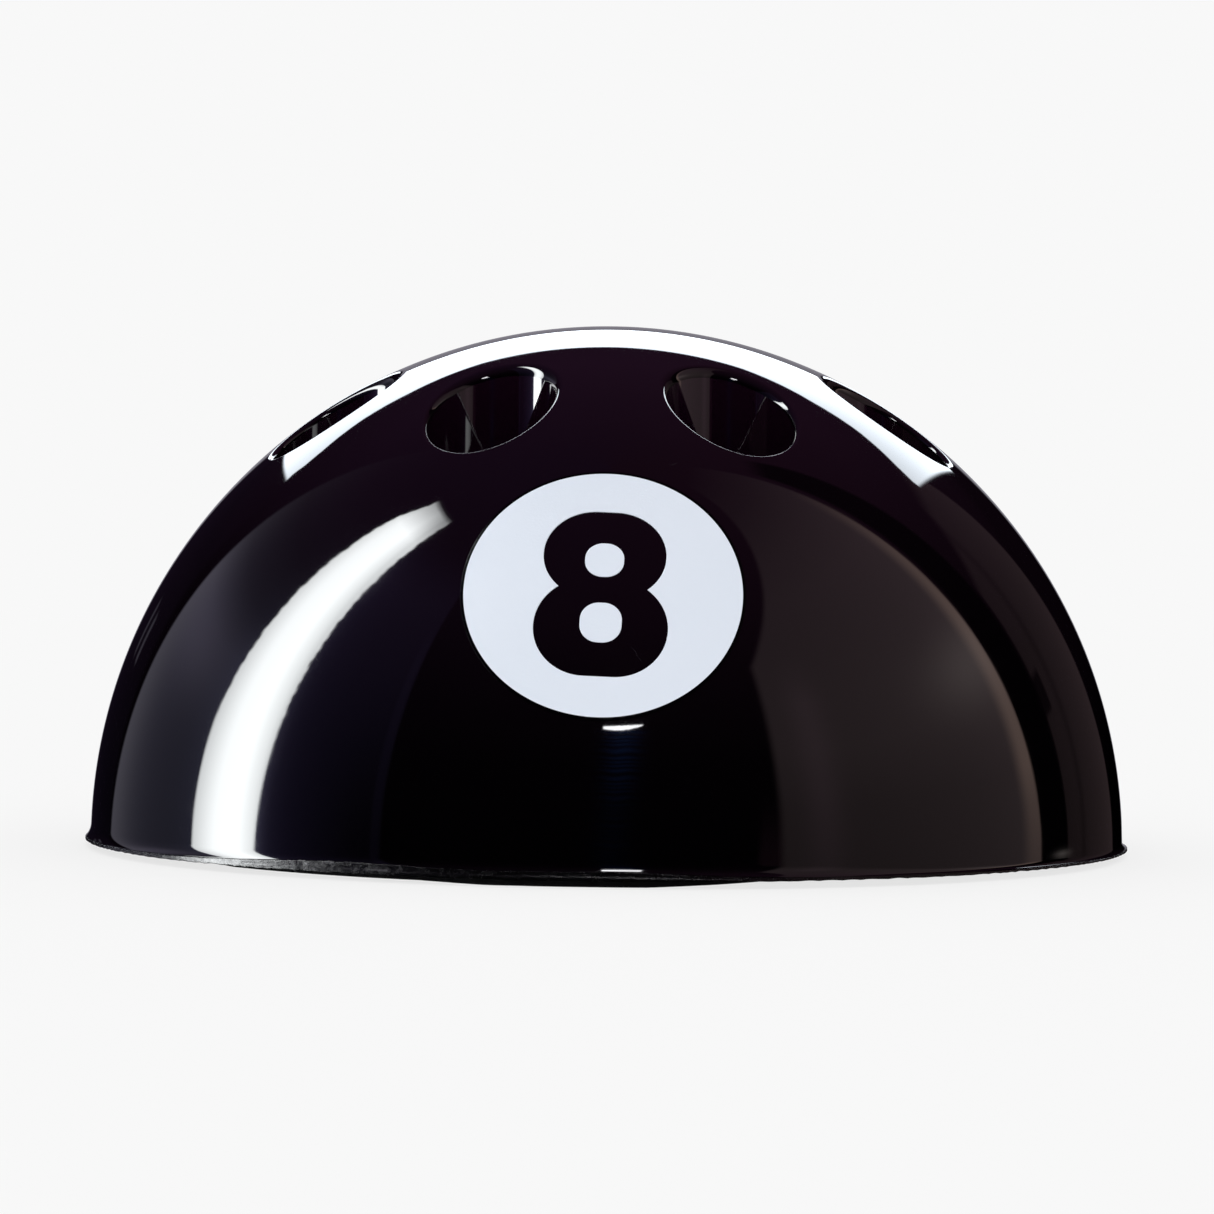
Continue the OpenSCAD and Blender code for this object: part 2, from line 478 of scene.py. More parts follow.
def make_well_wall():
    """The same plastic in the turned-in mouths, where the heat of the mould left its gloss a little cloudy;
    its dim purple colour is a painted reflection of the purple overhead.
    """
    finish = Finish("well_mouth_plastic_with_painted_reflection", IOR=1.5, Specular_IOR_Level=0.8)
    clouds = finish.noise(45, 3, 0.6, finish.place((1, 1, 0.4)))
    # painted reflection: this dim purple colour stands in for the purple overhead reflected in the well
    # mouths
    finish.colour(clouds, (0.0042, 0.0007, 0.0032), (0.0068, 0.0013, 0.0056))
    finish.set("Roughness", finish.fade(clouds, 0.3, 0.7, 0.03, 0.06))
    finish.bump(finish.noise(30, 1), 0.00003)
    return finish.material


def make_tube_black():
    """Extruded black pipe with fine draw lines along it."""
    finish = Finish("black_pipe", IOR=1.5)
    lines = finish.noise(1500, 2, 0.6, finish.place((1, 1, 0.01)))
    finish.colour(lines, (0.002, 0.0018, 0.0022), (0.004, 0.0036, 0.0044))
    finish.set("Roughness", finish.fade(finish.noise(90, 3), 0.3, 0.7, 0.2, 0.3))
    finish.bump(lines, 0.00002)
    return finish.material


def make_foam():
    """Grey closed-cell foam with open pores on its cut faces, painted darker inside the pores as shade in
    their hollows.
    """
    finish = Finish("pad_foam", IOR=1.4, Roughness=0.9)
    pores = finish.fade(finish.cells(1500), 0.1, 0.55)
    patches = finish.noise(120, 3)
    # painted shade: the colour is darkened inside the pore hollows
    shade = finish.math("MULTIPLY", pores, finish.fade(patches, 0.3, 0.7, 0.75, 1))
    finish.colour(shade, (0.012, 0.012, 0.013), (0.045, 0.045, 0.048))
    finish.bump(pores, 0.0002)
    return finish.material


def make_board():
    """Fibreboard sealed with thin black stain."""
    finish = Finish("stained_fibreboard", IOR=1.45, Roughness=0.7)
    fibres = finish.noise(700, 5, 0.7, finish.place((1, 1, 3)))
    clouds = finish.noise(35, 3)
    shade = finish.math("MULTIPLY", fibres, finish.fade(clouds, 0.3, 0.7, 0.7, 1.2))
    finish.colour(shade, (0.006, 0.005, 0.005), (0.03, 0.026, 0.022))
    finish.bump(fibres, 0.00015)
    return finish.material


def make_felt():
    """Black needle felt with matted fibres."""
    finish = Finish("black_felt", Roughness=0.95, Specular_IOR_Level=0.1)
    fibres = finish.noise(1400, 6, 0.75, finish.place((1, 1, 1.6), bent=0.02))
    clumps = finish.noise(160, 3)
    shade = finish.math("MULTIPLY", fibres, finish.fade(clumps, 0.3, 0.7, 0.6, 1.2))
    finish.colour(shade, (0.0006, 0.0006, 0.0008), (0.006, 0.006, 0.007))
    finish.bump(fibres, 0.0004)
    return finish.material


def make_wood():
    """Planed pine with growth rings and fine pores."""
    finish = Finish("planed_pine", IOR=1.45, Roughness=0.6)
    rings = finish.nodes.new("ShaderNodeTexWave")
    rings.wave_type = "RINGS"
    rings.inputs["Scale"].default_value = 55
    rings.inputs["Distortion"].default_value = 3
    finish.put(rings.inputs["Vector"], finish.place((1, 1, 0.12), (0.3, 0.1, 0)))
    pores = finish.noise(1200, 3, 0.6, finish.place((1, 1, 0.06)))
    pine = finish.blend(rings.outputs["Fac"], (0.52, 0.34, 0.17), (0.36, 0.2, 0.08))
    finish.colour(finish.fade(pores, 0.55, 0.75), pine, (0.22, 0.12, 0.05))
    finish.bump(pores, 0.00008)
    return finish.material


def make_zinc():
    """Zinc-plated steel with a faint spangle and dull patches."""
    finish = Finish("zinc_plate", Metallic=1.0)
    spangle = finish.cells(900, output="Color")
    finish.colour(spangle, (0.5, 0.51, 0.53), (0.66, 0.67, 0.68))
    finish.set("Roughness", finish.fade(finish.noise(600, 4), 0.3, 0.7, 0.25, 0.45))
    finish.bump(finish.noise(2500, 2), 0.00002)
    return finish.material


def make_vinyl():
    """Matt white sticker vinyl with a fine pebbled face, and a clear margin that shows the black under it."""
    finish = Finish("matt_white_vinyl", IOR=1.45)
    pebble = finish.noise(1300, 3, 0.6)
    tone = finish.noise(18, 2)
    white = finish.blend(finish.fade(tone, 0.3, 0.7), (0.75, 0.81, 0.905), (0.77, 0.825, 0.92))
    grime = specks(finish, 260, 0.00012, 0.05)
    face = finish.blend(grime, white, (0.42, 0.4, 0.42))
    print_edge = 2 * DOME_R * math.sin(math.asin(STICKER_R / DOME_R) / 2)
    clear = finish.fade(finish.distance_to(STICKER_MIDDLE), print_edge, print_edge + 0.00008)
    finish.colour(clear, face, (0.0004, 0.0003, 0.0006))
    pebbled = finish.fade(pebble, 0.3, 0.7, 0.5, 0.62)
    finish.set("Roughness", finish.math("SUBTRACT", pebbled, finish.math("MULTIPLY", clear, 0.4)))
    finish.set("Specular IOR Level", finish.fade(clear, 0, 1, 0.5, 0.04))
    finish.bump(pebble, 0.00004)
    return finish.material


GLOSS_BLACK = make_gloss_black()
CUT_EDGE = make_cut_edge()
WELL_WALL = make_well_wall()
TUBE_BLACK = make_tube_black()
FOAM = make_foam()
BOARD = make_board()
FELT = make_felt()
WOOD = make_wood()
ZINC = make_zinc()
VINYL = make_vinyl()


# ====== dome
def well_turn(index):
    """Turn of a well, counted from the front towards +X."""
    return (index + 0.5) * 2 * math.pi / WELL_COUNT


def sector_outline(turn, foot_r, top_r):
    """Plan of one well's share of the dome: foot arc, right side, top arc, left side, back to the start."""
    half = math.pi / WELL_COUNT
    swing = np.linspace(-half, half, ARC_COLUMNS + 1)
    climb = np.linspace(foot_r, top_r, SIDE_ROWS + 1)
    foot = foot_r * spoke(turn + swing)
    right = climb[1:, None] * spoke(turn + half)
    top = top_r * spoke(turn - swing)[1:]
    left = climb[::-1][1:, None] * spoke(turn - half)
    return np.concatenate([foot, right, top, left])


def rim_fillet(skin, axis, spokes):
    """Rounded edge of a well, as left by a rolling ball that is bigger on the uphill side."""
    uphill = 0.5 - 0.5 * (spokes @ axis)[:, None] / WELL_RING_R
    rim_r = RIM_R + (UPHILL_RIM_R - RIM_R) * uphill**3
    flat = axis + (WELL_R + rim_r) * spokes
    centres, up = on_sphere(flat, DOME_R - rim_r)
    inward = lifted(-spokes, 0)
    angle = np.arccos((up * inward).sum(-1, keepdims=True))
    share = np.linspace(0, 1, FILLET_ROWS + 1)[:, None, None]
    normals = (np.sin((1 - share) * angle) * up + np.sin(share * angle) * inward) / np.sin(angle)
    points = centres + rim_r * normals
    skin.grid(points, normals)
    return points[0], points[-1]


def upright_wall(skin, axis, spokes, radius, top, foot, side, slot=0):
    """A wall round a well's axis between two heights; side is -1 where it faces the axis."""
    heights = np.linspace(top * np.ones(len(spokes)), foot, WELL_WALL_ROWS + 1)
    points = lifted(axis + radius * spokes + 0 * heights[..., None], heights)
    skin.grid(points, side * np.broadcast_to(lifted(spokes, 0), points.shape), slot)


def level_ring(skin, axis, spokes, inner_r, outer_r, height):
    """A flat ring that faces down."""
    points = lifted(np.stack([axis + inner_r * spokes, axis + outer_r * spokes]), height)
    skin.grid(points, np.broadcast_to([0.0, 0.0, -1.0], points.shape))


def well_sector(skin, index):
    """One eighth of the dome wall, with its well, the rounded rim and the collar underneath."""
    turn = well_turn(index)
    axis = WELL_RING_R * spoke(turn)
    foot_r = DOME_R * math.sin(PATCH_COLATITUDE)
    top_r = DOME_R * math.sin(CAP_COLATITUDE)
    outline = sector_outline(turn, foot_r, top_r)
    spokes = even(outline - axis)
    share = np.linspace(0, 1, PATCH_ROWS + 1)[:, None, None]

    rim, wall_top = rim_fillet(skin, axis, spokes)
    points, normals = on_sphere(rim[:, :2] * (1 - share) + outline * share, DOME_R)
    skin.grid(points, normals)

    upright_wall(skin, axis, spokes, WELL_R, wall_top[:, 2], SEAT_Z, -1, slot=2)
    level_ring(skin, axis, spokes, WELL_R, SOCKET_R, SEAT_Z)
    upright_wall(skin, axis, spokes, SOCKET_R, SEAT_Z, COLLAR_FOOT_Z, -1)
    level_ring(skin, axis, spokes, SOCKET_R, COLLAR_R, COLLAR_FOOT_Z)
    collar = axis + COLLAR_R * spokes
    collar_top = on_sphere(collar, INNER_R)[0][:, 2]
    upright_wall(skin, axis, spokes, COLLAR_R, collar_top, COLLAR_FOOT_Z, 1)
    points, normals = on_sphere(collar * (1 - share) + outline * INNER_R / DOME_R * share, INNER_R)
    skin.grid(points, -normals)


def lip_reach(turns):
    """How far from the middle the lip is cut off at each turn."""
    turn = wrapped(np.degrees(turns))
    filed = sum(depth * bell(turn, at, width) for at, width, depth in FILED_BACK)
    uneven = UNEVEN_CUT * np.abs(ripple(turns, 9, 60, 3))
    torn = sum(depth * bell(turn, at, width) for at, width, depth in CHIPPED)
    chips = torn * np.clip(ripple(turns, 60, 240, 5), 0, 1.5)
    return LIP_R - (filed + chips) * MM - uneven


def hollow_curve(turns):
    """Radius, centre radius and centre height of the hollow over the lip, which is tight on the right."""
    tight = between(np.degrees(turns) % 360, 22, 165, 30)
    radius = HOLLOW_R + (TIGHT_HOLLOW_R - HOLLOW_R) * tight
    full_centre_r = math.sqrt((DOME_R + HOLLOW_R) ** 2 - HOLLOW_RISE**2)
    edge_height = HOLLOW_RISE - math.sqrt(HOLLOW_R**2 - (full_centre_r - LIP_R) ** 2)
    rise = edge_height + radius * HOLLOW_RISE / HOLLOW_R
    for _ in range(SETTLING_ROUNDS):
        centre_r = np.sqrt((DOME_R + radius) ** 2 - rise**2)
        rise = edge_height + np.sqrt(radius**2 - (centre_r - LIP_R) ** 2)
    return radius, centre_r, rise


def lip(skin, coarse_turns, fine_turns, band_foot, band_normals):
    """The hollow curve from the dome out to the lip, the rough cut face and the underside."""
    radius, centre_r, rise = hollow_curve(fine_turns)
    tilt = np.arctan2(rise, centre_r)
    tangent = revolved(DOME_R * np.cos(tilt), DOME_R * np.sin(tilt), fine_turns)
    skin.fan(band_foot, band_normals, tangent, facing(np.cos(tilt), np.sin(tilt), fine_turns))

    reach = lip_reach(fine_turns)
    end = 2 * math.pi - np.arccos((reach - EASED_LIP - centre_r) / radius)
    share = np.linspace(0, 1, HOLLOW_ROWS + 1)[:, None]
    sweep = (math.pi + tilt) * (1 - share) + end * share
    radii = centre_r + radius * np.cos(sweep)
    heights = rise + radius * np.sin(sweep)
    skin.grid(revolved(radii, heights, fine_turns), facing(-np.cos(sweep), -np.sin(sweep), fine_turns))

    foot = -LIP_DROP + ROUGH_FOOT * np.abs(ripple(fine_turns, 20, 160, 6))
    bend = np.linspace(0, math.pi / 2, EASED_ROWS + 1)[:, None]
    share = np.linspace(0, 1, CUT_ROWS + 1)[1:-1, None]
    top, low = heights[-1] - EASED_LIP, foot + EASED_LIP
    cut_heights = np.concatenate([
        top + EASED_LIP * np.cos(bend),
        top * (1 - share) + low * share,
        low - EASED_LIP * np.sin(bend),
    ])
    inset = EASED_LIP * np.concatenate([1 - np.sin(bend), 0 * share, 1 - np.cos(bend)])
    depth_share = (cut_heights[0] - cut_heights) / (cut_heights[0] - cut_heights[-1])
    at_front = between(wrapped(np.degrees(fine_turns)), -38, 60, 12)
    groove = (GROOVE_DEPTH + FRONT_GROOVE_DEPTH * at_front) * profile(depth_share, *CUT_GROOVE)
    streaks = np.stack([ripple(fine_turns, 3, 40, 10 + row) for row in range(len(inset))])
    cut_radii = reach - inset - groove - ROUGH_CUT * np.abs(streaks) * (inset < EASED_LIP / 2)
    cut = revolved(cut_radii, cut_heights, fine_turns)
    skin.grid(cut, slope_normals(cut), slot=1)

    ones = np.ones(len(coarse_turns))
    inner = revolved(INNER_R * ones, -LIP_DROP * ones, coarse_turns)
    down = np.array([0.0, 0.0, -1.0])
    foot_normals = np.broadcast_to(down, cut[-1].shape)
    skin.fan(inner, np.broadcast_to(down, inner.shape), cut[-1], foot_normals, slot=1)


def make_dome():
    """The dome shell with its eight wells and its lip."""
    skin = Skin()
    columns = ARC_COLUMNS * WELL_COUNT
    coarse_turns = np.linspace(0, 2 * math.pi, columns + 1)
    fine_turns = np.linspace(0, 2 * math.pi, columns * LIP_SPLIT + 1)
    sphere_band(skin, DOME_R, 0, CAP_COLATITUDE, CAP_ROWS, coarse_turns, 1)
    sphere_band(skin, INNER_R, 0, CAP_COLATITUDE, CAP_ROWS, coarse_turns, -1)
    for index in range(WELL_COUNT):
        well_sector(skin, index)
    outer = (DOME_R, PATCH_COLATITUDE, SPLIT_COLATITUDE, BAND_ROWS)
    band_foot, band_normals = sphere_band(skin, *outer, coarse_turns, 1)
    sphere_band(skin, INNER_R, PATCH_COLATITUDE, math.pi / 2, BAND_ROWS, coarse_turns, -1)
    ones = np.ones(len(coarse_turns))
    skirt = np.array([0, -LIP_DROP])[:, None] * ones
    skirt_normals = facing(-1 + 0 * skirt, 0 * skirt, coarse_turns)
    skin.grid(revolved(INNER_R + 0 * skirt, skirt, coarse_turns), skirt_normals)
    lip(skin, coarse_turns, fine_turns, band_foot, band_normals)
    return skin.build("dome", [GLOSS_BLACK, CUT_EDGE, WELL_WALL])


# ====== round pieces
def rounded(corners, radius, steps=5):
    """Corners of an outline with each turned into an arc; corners on the axis stay sharp."""
    outline = []
    for place, corner in enumerate(corners):
        here = Vector(corner)
        if here.x == 0:
            outline.append(tuple(here))
            continue
        before = (Vector(corners[place - 1]) - here).normalized()
        after = (Vector(corners[(place + 1) % len(corners)]) - here).normalized()
        for step in range(steps + 1):
            lean = math.pi / 2 * step / steps
            offset = before * (1 - math.sin(lean)) + after * (1 - math.cos(lean))
            outline.append(tuple(here + radius * offset))
    return outline


def lathe(name, outline, axis, columns, material, sway=None):
    """Turns a closed outline of (radius, height) round an upright axis; sway changes the radius by turn."""
    turns = np.linspace(0, 2 * math.pi, columns + 1)
    corners = np.array(outline)
    following = np.roll(corners, -1, axis=0)
    edges = following - corners
    turning = np.sign((corners[:, 0] * following[:, 1] - following[:, 0] * corners[:, 1]).sum())
    outward = even(np.stack([edges[:, 1], -edges[:, 0]], -1)) * turning
    before = np.roll(outward, 1, axis=0)
    smooth = (before * outward).sum(-1, keepdims=True) > math.cos(SMOOTH_ANGLE)
    starts = even(np.where(smooth, before + outward, outward))
    ends = even(np.where(np.roll(smooth, -1, axis=0), np.roll(outward, -1, axis=0) + outward, outward))
    swell = np.ones(len(turns)) if sway is None else 1 + sway(turns)
    skin = Skin()
    for place in range(len(corners)):
        rows = np.stack([corners[place], following[place]])
        leans = np.stack([starts[place], ends[place]])
        level = (rows[:, :1] * swell)[..., None] * spoke(turns) + axis
        skin.grid(lifted(level, rows[:, 1:]), facing(leans[:, :1], leans[:, 1:], turns))
    return skin.build(name, [material])


def make_tube(index):
    """A length of black pipe with its sawn ends eased."""
    ends = (tube_low.z, tube_high.z)
    corners = [(TUBE_R, ends[0]), (TUBE_OUTER_R, ends[0]), (TUBE_OUTER_R, ends[1]), (TUBE_R, ends[1])]
    axis = WELL_RING_R * spoke(well_turn(index))
    return lathe(f"well_tube_{index + 1}", rounded(corners, EASED_R), axis, TUBE_COLUMNS, TUBE_BLACK)


def make_pad(index):
    """A foam disc, pressed hollow in the middle by cue butts."""
    top = pad_high.z
    corners = [(0, pad_low.z), (TUBE_OUTER_R, pad_low.z), (TUBE_OUTER_R, top), (0, top)]
    outline = rounded(corners, EASED_R)[:-1]
    outline += [(r, top - PAD_HOLLOW * (1 - (r / TUBE_R) ** 2) ** 2) for r in np.linspace(TUBE_R, 0, 9)]
    axis = WELL_RING_R * spoke(well_turn(index))
    pad = lathe(f"foam_pad_{index + 1}", outline, axis, PAD_COLUMNS, FOAM)
    return pad


def make_felt_sheet():
    """The felt under the board, cut by hand: it comes out to the lip only at the front."""
    radius = felt_high.x
    corners = [(0, felt_low.z), (radius, felt_low.z), (radius, felt_high.z), (0, felt_high.z)]
    sheet = lathe("felt_sheet", rounded(corners, EASED_R), (0, 0), FELT_COLUMNS, FELT, felt_sway)
    turns = np.linspace(0, 2 * math.pi, FELT_COLUMNS, endpoint=False)
    reach = radius * (1 + felt_sway(turns))
    return sheet


def felt_sway(turns):
    """Share of the radius by which the hand-cut felt stays short of its full size at each turn."""
    short = MM * profile(wrapped(np.degrees(turns)), *FELT_SHORT)
    frayed = FELT_WAVES * np.abs(ripple(turns, 5, 70, 21)) + FELT_FRAY * np.abs(ripple(turns, 80, 240, 22))
    return -short / felt_high.x - frayed


# ====== number sticker
def outside_box(points, box):
    """Distance of flat points outside a round-cornered box, below 0 inside it."""
    centre_height, width, height, corner = box
    past = np.abs(points - [0, centre_height]) - np.array([width, height]) / 2 + corner
    return np.linalg.norm(np.maximum(past, 0), axis=-1) + np.minimum(past.max(-1), 0) - corner


def box_outline(box):
    """Points round a box with round corners."""
    centre_height, width, height, corner = box
    points = []
    for quarter in range(4):
        middle = math.pi / 4 + quarter * math.pi / 2
        side = np.sign([math.cos(middle), math.sin(middle)])
        heart = side * (np.array([width, height]) / 2 - corner) + [0, centre_height]
        sweep = middle + np.linspace(-math.pi / 4, math.pi / 4, CORNER_STEPS + 1)
        points += list(heart + corner * np.stack([np.cos(sweep), np.sin(sweep)], -1))
    return np.array(points)


def disc_outline():
    """Points round the sticker."""
    sweep = np.linspace(0, 2 * math.pi, DISC_STEPS, endpoint=False)
    return (STICKER_R + CLEAR_MARGIN) * np.stack([np.cos(sweep), np.sin(sweep)], -1)


def outside_ring(points):
    """Distance outside the sticker with the 8 cut out of it, below 0 on the sticker."""
    disc = np.linalg.norm(points, axis=-1) - STICKER_R - CLEAR_MARGIN
    eight = np.minimum(outside_box(points, UPPER_BOWL), outside_box(points, LOWER_BOWL))
    return np.maximum(disc, -eight)


def bubbles(points):
    """Height of the small air bubbles and dust grains caught under the sticker."""
    draw = np.random.default_rng(8)
    height = np.zeros(len(points))
    for _ in range(BUBBLE_COUNT):
        middle = draw.uniform(-STICKER_R, STICKER_R, 2)
        size = draw.uniform(*BUBBLE_SIZES)
        rise = draw.uniform(*BUBBLE_RISES)
        height += rise * np.exp(-(np.linalg.norm(points - middle, axis=-1) ** 2) / size**2)
    return height


def sticker_matrix():
    """Sticker axes: X to the right, Y uphill, Z out of the dome, with the numeral's lean."""
    turned = Matrix.Rotation(STICKER_TURN, 4, "Z") @ Matrix.Rotation(math.pi / 2 - STICKER_RISE, 4, "X")
    return Matrix.Translation(Vector(CENTRE)) @ turned @ Matrix.Rotation(-NUMERAL_LEAN, 4, "Z")


def sticker_piece(name, outlines, outside):
    """A thin curved sheet over the part of the dome that the outlines bound."""
    reach = np.abs(np.concatenate(outlines)).max()
    row_step = SHEET_STEP * math.sqrt(3) / 2
    inner = []
    for row, height in enumerate(np.arange(-reach, reach, row_step)):
        across = np.arange(-reach, reach, SHEET_STEP) + row % 2 * SHEET_STEP / 2
        inner.append(np.stack([across, np.full(len(across), height)], -1))
    inner = np.concatenate(inner)
    inner = inner[outside(inner) < -SHEET_STEP / 2]

    edges = []
    start = 0
    for outline in outlines:
        count = len(outline)
        edges += [(start + step, start + (step + 1) % count) for step in range(count)]
        start += count
    flat = [Vector(p) for p in np.concatenate([*outlines, inner]).tolist()]
    found, _, faces = delaunay_2d_cdt(flat, edges, [], 0, 1e-7)[:3]
    flat = np.array([tuple(p) for p in found])
    kept = [face for face in faces if outside(flat[list(face)].mean(0)[None])[0] < 0]
    used = sorted({corner for face in kept for corner in face})
    renamed = {corner: place for place, corner in enumerate(used)}
    flat = flat[used]
    lift = np.sqrt((DOME_R + STICKER_H) ** 2 - (flat**2).sum(-1)) + bubbles(flat)
    points = lifted(flat, lift)

    mesh = bpy.data.meshes.new(name)
    mesh.from_pydata(points.tolist(), [], [[renamed[corner] for corner in face] for face in kept])
    mesh.transform(sticker_matrix())
    mesh.materials.append(VINYL)
    mesh.polygons.foreach_set("use_smooth", [True] * len(mesh.polygons))
    sheet = add_object(name, mesh)
    thick = sheet.modifiers.new("thickness", "SOLIDIFY")
    thick.thickness = STICKER_H + STICKER_SINK
    thick.offset = -1
    thick.use_even_offset = True
    edge = sheet.modifiers.new("edge", "BEVEL")
    edge.width = STICKER_EDGE
    edge.segments = 2
    edge.limit_method = "ANGLE"
    edge.angle_limit = STICKER_EDGE_ANGLE
    return sheet


# ====== the object
def take_over(piece, slot, *nodes):
    """The piece rides on the stand and stands for these CAD nodes; the slot is not used."""
    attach(piece, "root")
    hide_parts(*nodes)


def dress(node, material):
    """Gives a carried-over CAD node its material."""
    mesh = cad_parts[node].data
    mesh.materials.clear()
    mesh.materials.append(material)


take_over(make_dome(), "black_gloss", "dome_shell")
for index in range(WELL_COUNT):
    take_over(make_tube(index), "tube_black", f"cue_tube_{index + 1}")
    take_over(make_pad(index), "pad_foam", f"tube_pad_{index + 1}")
take_over(make_felt_sheet(), "felt", "base_felt")

white_outlines = [disc_outline(), box_outline(UPPER_BOWL), box_outline(LOWER_BOWL)]
take_over(sticker_piece("sticker_disc", white_outlines, outside_ring), "sticker", "number_disc")
for place, box in (("upper", UPPER_HOLE), ("lower", LOWER_HOLE)):
    hole_dot = sticker_piece(f"sticker_{place}_dot", [box_outline(box)], lambda p, b=box: outside_box(p, b))
    take_over(hole_dot, "sticker", f"number_{place}_counter")

dress("base_board", BOARD)
dress("base_screws", ZINC)
for index in range(4):
    dress(f"fixing_block_{index + 1}", WOOD)


# ====== studio
PAPER_WHITE = 0.939
FLOOR_MATT = 0.2
BACKDROP_R = 12.0
FLOOR_R = 11.5
LIGHTS_R = 10.0
SHARP_LIGHTS_R = 9.9
# turns and rises, in degrees, of the far dome and of the two areas where its lights have sharp edges
WHOLE_DOME = ((-180, 180), (-30, 90))
FRONT_BOX_AREA = ((-9, 15), (-6, 38))
TOP_PANEL_AREA = ((138, 222), (17, 42))
BACKDROP_STEP = 7.5
FLOOR_GAP = 0.05 * MM


def glow_material(name):
    """Gives off the colour that the mesh holds in its glow attribute."""
    material = bpy.data.materials.new(name)
    material.use_nodes = True
    nodes = material.node_tree.nodes
    nodes.clear()
    glow = nodes.new("ShaderNodeAttribute")
    glow.attribute_name = "glow"
    emission = nodes.new("ShaderNodeEmission")
    output = nodes.new("ShaderNodeOutputMaterial")
    material.node_tree.links.new(glow.outputs["Color"], emission.inputs["Color"])
    material.node_tree.links.new(emission.outputs["Emission"], output.inputs["Surface"])
    return material


def colour_points(mesh, colours):
    """Stores one glow colour for each point of a mesh."""
    glow = mesh.attributes.new("glow", "FLOAT_COLOR", "POINT")
    rgba = np.concatenate([colours, np.ones((len(colours), 1))], -1)
    glow.data.foreach_set("color", rgba.astype(np.float32).ravel())


def tinted(share, red, green, blue):
    """A colour with this much of it everywhere."""
    return share[..., None] * np.array([red, green, blue])


# each light below gives its colour at these turns from the front and rises above the floor, in degrees
def ceiling(turn, rise):
    """Dim purple overhead, with a black flag hung to the right of the right wall."""
    height = profile(rise, (0, 0), (19, 0.08), (29, 0.23), (39, 0.43), (49, 0.68), (60, 0.85), (74, 1))
    flag = 1 - 0.75 * between(turn, 107, 117.5, 1.5) * (1 - rising(rise, 67, 5))
    leftness = 0.5 - 0.5 * np.sin(np.radians(turn))
    rear_left = (1 - rising(turn, -139, 4)) * (1 - rising(rise, 25, 20))
    warm = tinted(height * flag, 0.125, 0.042, 0.1)
    cool = tinted(height * flag * leftness, -0.012, 0.001, 0.018)
    return 0.9 * (warm + cool) + tinted(rear_left, 0.006, 0.004, 0.009)


def strip_left_side(rise):
    """Turn of the strip's left side, which leans inward towards the top."""
    return profile(rise, (15, -99.6), (42, -97.2), (55, -96), (61, -93))


def strip_right_side(rise):
    """Turn of its right side."""
    return -79.9 + 0.05 * rise


def left_strip(turn, rise):
    """The tall strip softbox to the left."""
    stops = ((-99.6, 9.5), (-98, 11), (-92, 18), (-85, 21), (-81, 17), (-79.4, 14))
    folds = 0.2 * np.sin(1.3 * rise) * np.sin(0.37 * rise) + 0.12 * np.sin(3.1 * rise)
    folds = folds * rising(rise, 20, 20)
    across = between(turn, strip_left_side(rise) + folds, strip_right_side(rise) + folds, 0.8)
    upward = profile(rise, (56, 1), (60, 0.55), (62.5, 0.3)) * (1 - rising(rise, 62.5, 1.2))
    return tinted(profile(turn, *stops) * across * upward, 0.96, 0.99, 1)


def left_wall(turn, rise):
    """Grey wall behind the strip, brighter at half height, at its far edge and beside the strip."""
    strip_side = strip_left_side(rise)
    inside = rising(turn, -138 + 0.18 * rise, 1.2) * (1 - rising(turn, strip_side, 0.8))
    high = profile(rise, (-5, 0.8), (14, 1), (24, 1.1), (31, 0.55), (40, 0.22), (52, 0.06), (62, 0))
    wall = tinted(high, 0.15, 0.145, 0.215)
    far_edge = tinted(high * bell(turn, -137, 11), 0.12, 0.115, 0.11)
    spot = tinted(bell(turn, -117, 17) * bell(rise, 21.5, 6), 0.2, 0.18, 0.25)
    halo = tinted(high * np.exp((turn - strip_side) / 5), 0.13, 0.14, 0.24)
    return inside[..., None] * (wall + far_edge + spot + halo)


def left_screen(turn, rise):
    """Violet fall-off to the right of the strip, which ends in a pale edge."""
    inside = between(turn, strip_right_side(rise), -48.3, 0.8)
    across = profile(turn, (-79, 1.6), (-76, 1.2), (-71, 0.95), (-64, 0.75), (-48, 0.6))
    dimmer = profile(turn, (-74, 0), (-64, 0.35), (-55, 0.75), (-48, 0.85)) * (1 - rising(rise, 18, 45))
    violet = across * (1 - dimmer) * (1 - rising(rise, 54, 16))
    edge = 0.25 * between(turn, -50.6, -48.4, 0.6) * (1 - rising(rise, 40, 12))
    beside_strip = np.exp(-(turn + 79.5) / 1.6) * (1 - rising(rise, 55, 12))
    screen = tinted(violet + edge, 0.088, 0.072, 0.172)
    return inside[..., None] * (screen + tinted(beside_strip, 0.44, 0.44, 0.66))


